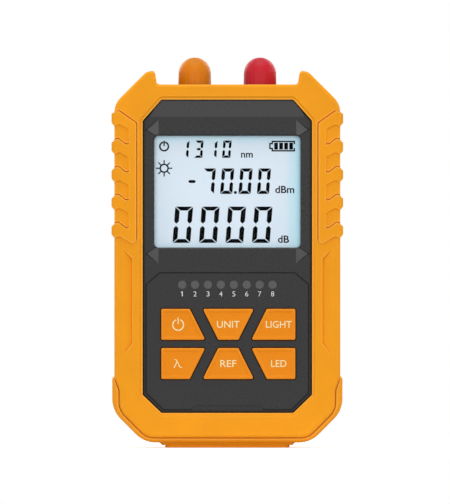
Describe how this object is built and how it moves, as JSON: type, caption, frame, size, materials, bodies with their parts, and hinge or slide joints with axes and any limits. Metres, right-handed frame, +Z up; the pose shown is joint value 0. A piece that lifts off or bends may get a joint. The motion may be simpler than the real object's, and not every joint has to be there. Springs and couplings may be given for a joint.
{
  "type": "optical power meter",
  "caption": "Handheld fibre-optic power meter with a liquid-crystal display, trapezoid keys, capped optical ports, a network socket and a ribbed rubber jacket.",
  "frame": {"origin": "middle of the footprint, on the surface that the foot stands on", "axes": "+Z up along the body, +Y from the display to the back, +X to the right when the display is looked at"},
  "size_m": [0.0722, 0.032, 0.1218],
  "materials": {
    "jacket_rubber": "soft moulded rubber, matte",
    "cover_plastic": "fine moulded grain, dark grey",
    "door_plastic": "fine moulded grain, dark grey",
    "window_plastic": "clear polished pane",
    "display_glass": "bluish liquid-crystal glass",
    "backlight_plastic": "milky light guide",
    "holder_plastic": "white moulded frame",
    "connector_rubber": "striped elastomer strip",
    "board_laminate": "green solder mask",
    "chip_plastic": "black epoxy",
    "key_rubber": "soft matte key, printed legend",
    "mat_silicone": "translucent silicone",
    "indicator_plastic": "smoked light pipe",
    "lamp_package": "chip lamp",
    "port_metal": "nickel-plated, turned",
    "sleeve_ceramic": "ground zirconia",
    "sensor_metal": "gold-plated can",
    "laser_metal": "turned barrel",
    "torch_plastic": "clear lamp lens",
    "orange_cap_rubber": "soft moulded cap",
    "red_cap_rubber": "soft moulded cap",
    "socket_plastic": "black socket body",
    "contact_metal": "gold-plated wire",
    "cell_jacket": "printed steel cell, plain",
    "nickel": "nickel-plated spring steel",
    "screw_steel": "black zinc"
  },
  "bodies": {
    "meter": {"rubber_jacket": "jacket_rubber", "front_cover": "cover_plastic", "rear_cover": "cover_plastic", "display_window": "window_plastic", "display_glass": "display_glass", "display_backlight": "backlight_plastic", "display_holder": "holder_plastic", "display_connector": "connector_rubber", "main_board": "board_laminate", "processor_chip": "chip_plastic", "amplifier_chip": "chip_plastic", "buzzer": "chip_plastic", "key_mat": "mat_silicone", "indicator_light_pipe": "indicator_plastic", "detector_port": "port_metal", "detector_sleeve": "sleeve_ceramic", "photodiode": "sensor_metal", "laser_port": "port_metal", "laser_sleeve": "sleeve_ceramic", "laser_module": "laser_metal", "torch_lamp": "torch_plastic", "network_socket": "socket_plastic", "network_contacts": "contact_metal", "indicator_lamp_1": "lamp_package", "indicator_lamp_2": "lamp_package", "indicator_lamp_3": "lamp_package", "indicator_lamp_4": "lamp_package", "indicator_lamp_5": "lamp_package", "indicator_lamp_6": "lamp_package", "indicator_lamp_7": "lamp_package", "indicator_lamp_8": "lamp_package", "battery_1": "cell_jacket", "battery_2": "cell_jacket", "battery_3": "cell_jacket", "battery_spring_1": "nickel", "battery_spring_2": "nickel", "battery_spring_3": "nickel", "battery_contact_1": "nickel", "battery_contact_2": "nickel", "battery_contact_3": "nickel", "battery_contact_4": "nickel", "cover_screw_1": "screw_steel", "cover_screw_2": "screw_steel", "cover_screw_3": "screw_steel", "cover_screw_4": "screw_steel", "board_screw_1": "screw_steel", "board_screw_2": "screw_steel", "board_screw_3": "screw_steel", "board_screw_4": "screw_steel"},
    "key_power": {"key_power": "key_rubber"},
    "key_unit": {"key_unit": "key_rubber"},
    "key_light": {"key_light": "key_rubber"},
    "key_wavelength": {"key_wavelength": "key_rubber"},
    "key_reference": {"key_reference": "key_rubber"},
    "key_led": {"key_led": "key_rubber"},
    "detector_cap": {"detector_cap": "orange_cap_rubber"},
    "laser_cap": {"laser_cap": "red_cap_rubber"},
    "battery_door": {"battery_door": "door_plastic"}
  },
  "joints": [
    {"name": "key_power_press", "type": "slide", "parent": "meter", "child": "key_power", "axis": [0, 1, 0], "range_m": [0, 0.001], "stiffness_N_per_m": 1500, "deforming": ["key_mat"]},
    {"name": "key_unit_press", "type": "slide", "parent": "meter", "child": "key_unit", "axis": [0, 1, 0], "range_m": [0, 0.001], "stiffness_N_per_m": 1500, "deforming": ["key_mat"]},
    {"name": "key_light_press", "type": "slide", "parent": "meter", "child": "key_light", "axis": [0, 1, 0], "range_m": [0, 0.001], "stiffness_N_per_m": 1500, "deforming": ["key_mat"]},
    {"name": "key_wavelength_press", "type": "slide", "parent": "meter", "child": "key_wavelength", "axis": [0, 1, 0], "range_m": [0, 0.001], "stiffness_N_per_m": 1500, "deforming": ["key_mat"]},
    {"name": "key_reference_press", "type": "slide", "parent": "meter", "child": "key_reference", "axis": [0, 1, 0], "range_m": [0, 0.001], "stiffness_N_per_m": 1500, "deforming": ["key_mat"]},
    {"name": "key_led_press", "type": "slide", "parent": "meter", "child": "key_led", "axis": [0, 1, 0], "range_m": [0, 0.001], "stiffness_N_per_m": 1500, "deforming": ["key_mat"]},
    {"name": "detector_cap_pull", "type": "slide", "parent": "meter", "child": "detector_cap", "axis": [0, 0, 1], "range_m": [0, 0.03]},
    {"name": "laser_cap_pull", "type": "slide", "parent": "meter", "child": "laser_cap", "axis": [0, 0, 1], "range_m": [0, 0.03]},
    {"name": "battery_door_swing", "type": "hinge", "parent": "meter", "child": "battery_door", "pos_m": [0, 0.0129, 0.02145], "axis": [-1, 0, 0], "range_deg": [0, 45]}
  ]
}
